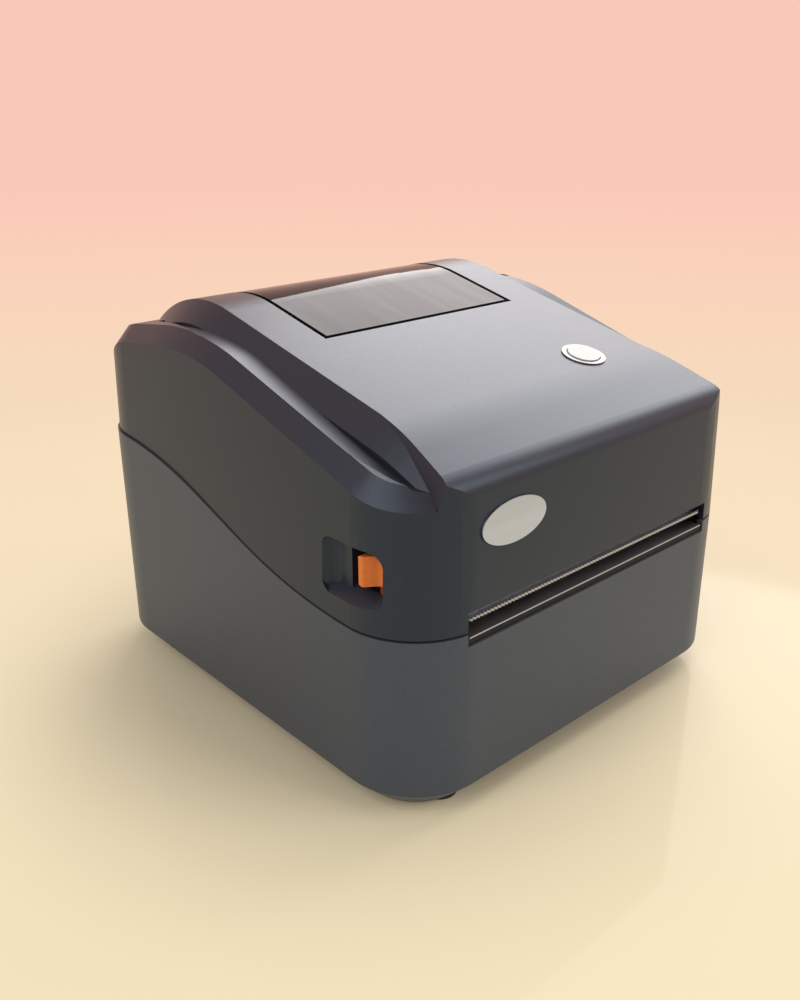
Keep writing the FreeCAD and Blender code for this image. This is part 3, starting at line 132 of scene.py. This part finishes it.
def add_lamp(name, place, size, power):
    lamp = bpy.data.objects.new(name, bpy.data.lights.new(name, "AREA"))
    scene.collection.objects.link(lamp)
    lamp.location = place
    point_at(lamp, CAMERA_TARGET)
    lamp.data.shape = "RECTANGLE"
    lamp.data.size, lamp.data.size_y = size
    lamp.data.energy = power


class Finish:
    """A node material built round one Principled shader."""

    def __init__(self, name, colour, roughness, metal=0.0):
        self.name = name
        self.material = bpy.data.materials.new(name)
        self.material.use_nodes = True
        self.tree = self.material.node_tree
        self.shader = self.tree.nodes["Principled BSDF"]
        self.shader.inputs["Base Color"].default_value = (*colour, 1)
        self.shader.inputs["Roughness"].default_value = roughness
        self.shader.inputs["Metallic"].default_value = metal
        self.colour = colour
        self.roughness = roughness
        self.place = self.tree.nodes.new("ShaderNodeTexCoord").outputs["Object"]

    def node(self, kind, **settings):
        """Add a node, with each setting put on the input or the property of that name."""
        item = self.tree.nodes.new(kind)
        for key, value in settings.items():
            if key in item.inputs:
                item.inputs[key].default_value = value
            else:
                setattr(item, key, value)
        return item

    def link(self, source, target):
        self.tree.links.new(source, target)

    def set(self, **values):
        for key, value in values.items():
            self.shader.inputs[key.replace("_", " ")].default_value = value
        return self

    def noise(self, scale, detail, stretch=None):
        item = self.node("ShaderNodeTexNoise", Scale=scale, Detail=detail)
        source = self.place
        if stretch:
            bend = self.node("ShaderNodeMapping", Scale=stretch)
            self.link(source, bend.inputs["Vector"])
            source = bend.outputs["Vector"]
        self.link(source, item.inputs["Vector"])
        return item.outputs["Fac"]

    def ramp(self, source, low, high, target):
        """Spread a pattern between two colours or two grey levels."""
        item = self.node("ShaderNodeValToRGB")
        for stop, place, colour in zip(item.color_ramp.elements, PATTERN_SPAN, (low, high)):
            stop.position = place
            stop.color = (*colour, 1) if isinstance(colour, tuple) else (colour, colour, colour, 1)
        self.link(source, item.inputs["Fac"])
        self.link(item.outputs["Color"], target)

    def vary_colour(self, scale, amount, stretch=None):
        low = tuple(channel * (1 - amount) for channel in self.colour)
        high = tuple(min(channel * (1 + amount), 1) for channel in self.colour)
        pattern = self.noise(scale, PATTERN_DETAIL, stretch)
        self.ramp(pattern, low, high, self.shader.inputs["Base Color"])
        return self

    def vary_roughness(self, scale, amount, stretch=None):
        low = self.roughness - amount
        high = self.roughness + amount
        pattern = self.noise(scale, PATTERN_DETAIL, stretch)
        self.ramp(pattern, low, high, self.shader.inputs["Roughness"])
        return self

    def grain(self, scale, strength, depth=GRAIN_DEPTH, stretch=None):
        """Raise a fine pattern on the surface."""
        item = self.node("ShaderNodeBump", Strength=strength, Distance=depth)
        self.link(self.noise(scale, GRAIN_DETAIL, stretch), item.inputs["Height"])
        self.link(item.outputs["Normal"], self.shader.inputs["Normal"])
        return self

    def blend(self, factor, low, high):
        """Mix two colours, each a colour or another node's output."""
        item = self.node("ShaderNodeMix", data_type="RGBA")
        colours = [spot for spot in item.inputs if spot.type == "RGBA"]
        self.link(factor, item.inputs["Factor"])
        for spot, value in zip(colours, (low, high)):
            if isinstance(value, tuple):
                spot.default_value = (*value, 1)
            else:
                self.link(value, spot)
        return [spot for spot in item.outputs if spot.type == "RGBA"][0]

    def spread(self, source, start, end, level=1.0, curve="SMOOTHSTEP"):
        """Turn a value that runs from start to end into one that runs from nought to a level."""
        item = self.node("ShaderNodeMapRange", interpolation_type=curve)
        item.inputs["From Min"].default_value = start
        item.inputs["From Max"].default_value = end
        item.inputs["To Max"].default_value = level
        self.link(source, item.inputs["Value"])
        return item.outputs["Result"]


def moulded(name, colour, roughness, texture=0.25):
    """Moulded plastic with a fine spark-eroded skin."""
    finish = Finish(name, colour, roughness)
    return finish.vary_colour(*SKIN_MOTTLE).vary_roughness(*SKIN_GLOSS).grain(SKIN_GRAIN, texture)


def shell_plastic(name, colour, roughness, texture, sheen):
    """Moulded plastic of the outer shells, with a cool sheen."""
    finish = moulded(name, colour, roughness, texture)
    return finish.set(Specular_IOR_Level=sheen, Specular_Tint=COOL_SHEEN)


def smoked_sheet(name, colour, roughness, sheen):
    """Dark glossy sheet with faint waves across it."""
    finish = Finish(name, colour, roughness).vary_roughness(*WINDOW_GLOSS)
    return finish.grain(*WINDOW_WAVES, stretch=ACROSS_X).set(Specular_IOR_Level=sheen)


def metal(name, colour, roughness, stretch=None):
    """Bare metal with drawn or rolled lines."""
    finish = Finish(name, colour, roughness, metal=1.0)
    finish.vary_colour(*DRAWN_MOTTLE, stretch).vary_roughness(*DRAWN_GLOSS, stretch)
    return finish.grain(*DRAWN_GRAIN, stretch=stretch)


FINISHES = {finish.name: finish for finish in (
    shell_plastic("case_plastic", (0.068, 0.072, 0.084), 0.42, 0.25, 0.55),
    shell_plastic("lid_plastic", (0.018, 0.020, 0.031), 0.34, 0.15, 0.52),
    moulded("frame_plastic", (0.020, 0.020, 0.023), 0.5).set(Specular_IOR_Level=0.15),
    smoked_sheet("smoked_window", (0.010, 0.011, 0.013), 0.07, 0.09),
    metal("badge_metal", (0.50, 0.57, 0.71), 0.38, ALONG_X),
    moulded("button_white", (0.56, 0.57, 0.55), 0.35, 0.08).set(Specular_IOR_Level=0.3),
    metal("ring_grey", (0.20, 0.21, 0.22), 0.36),
    moulded("latch_orange", (0.93, 0.21, 0.018), 0.30, 0.08),
    metal("steel", (0.46, 0.50, 0.57), 0.36, ALONG_X),
    metal("screw_steel", (0.48, 0.48, 0.50), 0.35),
    metal("spring_steel", (0.55, 0.56, 0.58), 0.25),
    moulded("platen_rubber", (0.020, 0.020, 0.021), 0.7, 0.4),
    moulded("foot_rubber", (0.018, 0.018, 0.019), 0.8, 0.5),
    moulded("gear_plastic", (0.72, 0.70, 0.64), 0.4, 0.1),
    metal("brass", (0.72, 0.52, 0.22), 0.3),
    moulded("bush_plastic", (0.55, 0.53, 0.47), 0.45, 0.1),
    metal("head_aluminium", (0.62, 0.63, 0.65), 0.38, ALONG_X),
    moulded("head_ceramic", (0.20, 0.17, 0.13), 0.22, 0.05),
    moulded("board_green", (0.016, 0.11, 0.045), 0.32, 0.1),
    moulded("socket_black", (0.016, 0.016, 0.018), 0.45),
    metal("socket_shell", (0.62, 0.63, 0.65), 0.25, ALONG_X),
)}


def dress_nodes():
    """Give every carried-over piece the finish of its slot."""
    for part in frame["record"]["subparts"]:
        item = frame["nodes"][part["node"]]
        finish = FINISHES[part["material_slot"]].material
        for spot in item.material_slots:
            spot.material = finish
        if part["node"] in CRISP_NODES:
            edges = item.modifiers.new("crisp_edges", "EDGE_SPLIT")
            edges.split_angle = math.radians(CRISP_ANGLE)


def add_head_coils():
    """A copy of the print head's springs, carried with the lid, in place of the imported springs."""
    node = frame["nodes"]["head_springs"]
    coils = bpy.data.objects.new("head_coils", node.data.copy())
    scene.collection.objects.link(coils)
    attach(coils, "lid")
    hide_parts("head_springs")
    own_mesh(coils)


def seen_rays(tree):
    """One for what the eye and mirrors see, also through clear pieces, and nought for bounced light."""
    rays = tree.nodes.new("ShaderNodeLightPath")
    total = rays.outputs["Is Camera Ray"]
    for name in ("Is Glossy Ray", "Is Transmission Ray"):
        step = tree.nodes.new("ShaderNodeMath")
        step.operation = "ADD"
        step.use_clamp = True
        tree.links.new(total, step.inputs[0])
        tree.links.new(rays.outputs[name], step.inputs[1])
        total = step.outputs["Value"]
    return total


def floor_colour(finish, distance):
    """The floor's own colour: it changes with depth and fades to the backdrop's colour far off."""
    across = finish.node("ShaderNodeVectorMath", operation="DOT_PRODUCT")
    across.inputs[1].default_value = FLOOR_AWAY
    finish.link(finish.place, across.inputs[0])
    depth = finish.spread(across.outputs["Value"], *FLOOR_DEPTH, curve="LINEAR")
    shade = finish.node("ShaderNodeValToRGB")
    stops = shade.color_ramp.elements
    stops[0].color = (*FLOOR_NEAR, 1)
    stops[1].color = (*BACKDROP_COLOUR, 1)
    stops.new(BESIDE_STOP).color = (*FLOOR_BESIDE, 1)
    stops.new(BEHIND_STOP).color = (*FLOOR_BEHIND, 1)
    finish.link(depth, shade.inputs["Fac"])
    return finish.blend(finish.spread(distance, *HAZE), shade.outputs["Color"], BACKDROP_COLOUR)


def floor_material():
    """Near the part the floor is lit; farther off it shows its own colour to the eye and to mirrors."""
    finish = Finish("floor", FLOOR_BESIDE, FLOOR_ROUGHNESS).set(Specular_IOR_Level=FLOOR_SHEEN)
    finish.vary_roughness(*FLOOR_PATCHES)
    ray = finish.node("ShaderNodeVectorMath", operation="LENGTH")
    finish.link(finish.place, ray.inputs[0])
    distance = ray.outputs["Value"]
    own_colour = floor_colour(finish, distance)
    seen = seen_rays(finish.tree)
    tint = finish.blend(seen, BOUNCE_COLOUR, own_colour)

    def outward(start, end, level):
        """How much the eye sees the floor's own colour, rising with the distance from the part."""
        amount = finish.node("ShaderNodeMath", operation="MULTIPLY")
        finish.link(finish.spread(distance, start, end, level), amount.inputs[0])
        finish.link(seen, amount.inputs[1])
        return amount.outputs["Value"]

    near = outward(*LIT_FLOOR, NEAR_LEVEL)
    finish.link(finish.blend(near, tint, BLACK), finish.shader.inputs["Base Color"])
    finish.link(own_colour, finish.shader.inputs["Emission Color"])
    finish.link(near, finish.shader.inputs["Emission Strength"])
    glow = finish.node("ShaderNodeEmission")
    finish.link(own_colour, glow.inputs["Color"])
    mix = finish.node("ShaderNodeMixShader")
    finish.link(outward(*MIRROR_FLOOR, 1.0), mix.inputs["Fac"])
    finish.link(finish.shader.outputs["BSDF"], mix.inputs[1])
    finish.link(glow.outputs["Emission"], mix.inputs[2])
    finish.link(mix.outputs["Shader"], finish.tree.nodes["Material Output"].inputs["Surface"])
    return finish.material


def add_stage():
    """A wide floor at the height that the part stands on."""
    mesh = bpy.data.meshes.new("floor")
    reach = FLOOR_REACH
    corners = [(-reach, -reach, 0), (reach, -reach, 0), (reach, reach, 0), (-reach, reach, 0)]
    mesh.from_pydata(corners, [], [(0, 1, 2, 3)])
    mesh.materials.append(floor_material())
    floor = bpy.data.objects.new("floor", mesh)
    scene.collection.objects.link(floor)


def add_sky():
    """Soft, slightly cool light all round; the eye and mirrors see the backdrop's colour."""
    world = bpy.data.worlds.new("sky")
    scene.world = world
    world.use_nodes = True
    tree = world.node_tree
    light = tree.nodes["Background"]
    light.inputs["Color"].default_value = SKY_COLOUR
    light.inputs["Strength"].default_value = SKY_LEVEL
    backdrop = tree.nodes.new("ShaderNodeBackground")
    backdrop.inputs["Color"].default_value = (*BACKDROP_COLOUR, 1)
    mix = tree.nodes.new("ShaderNodeMixShader")
    tree.links.new(seen_rays(tree), mix.inputs["Fac"])
    tree.links.new(light.outputs["Background"], mix.inputs[1])
    tree.links.new(backdrop.outputs["Background"], mix.inputs[2])
    tree.links.new(mix.outputs["Shader"], tree.nodes["World Output"].inputs["Surface"])


dress_nodes()
add_head_coils()
add_stage()
add_sky()
add_camera()
for lamp_name, (lamp_place, lamp_size, lamp_power) in LAMPS.items():
    add_lamp(lamp_name, lamp_place, lamp_size, lamp_power)
